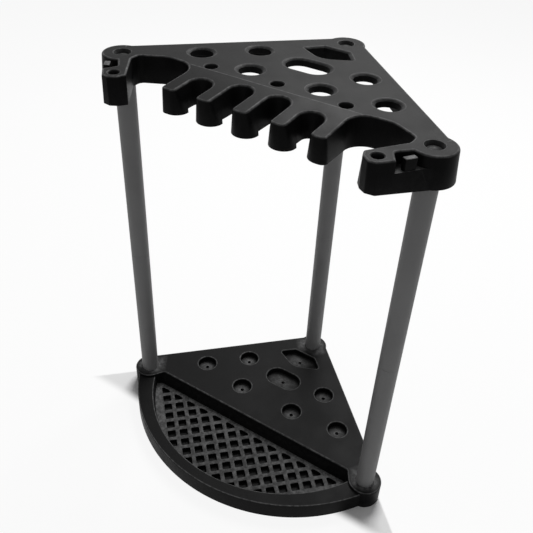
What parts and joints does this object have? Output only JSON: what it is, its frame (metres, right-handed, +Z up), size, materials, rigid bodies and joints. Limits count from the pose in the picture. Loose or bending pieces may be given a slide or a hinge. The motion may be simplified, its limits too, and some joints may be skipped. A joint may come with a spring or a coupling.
{
  "type": "garden tool rack",
  "caption": "Freestanding corner rack for long-handled garden tools: a moulded base with cups and a drip tray, push-fit poles and a slotted top plate.",
  "frame": {"origin": "on the floor, under the middle of the rack's box", "axes": "+X to the right, +Y into the room's corner, +Z up; the three poles stand on a right-angled triangle whose right angle is at +Y"},
  "size_m": [0.698, 0.556, 0.88],
  "materials": {
    "body_black": "black moulded plastic, satin with a fine grain",
    "pole_grey": "mid grey satin paint on steel tube",
    "cap_black": "black moulded plastic, satin",
    "clip_black": "black moulded plastic, satin"
  },
  "bodies": {
    "root": {"base_tray": "body_black", "top_plate": "body_black", "left_lower_tube": "pole_grey", "right_lower_tube": "pole_grey", "rear_lower_tube": "pole_grey", "left_upper_tube": "pole_grey", "right_upper_tube": "pole_grey", "rear_upper_tube": "pole_grey", "left_cap": "cap_black", "right_cap": "cap_black", "rear_cap": "cap_black", "left_clip": "clip_black", "right_clip": "clip_black"}
  },
  "joints": []
}
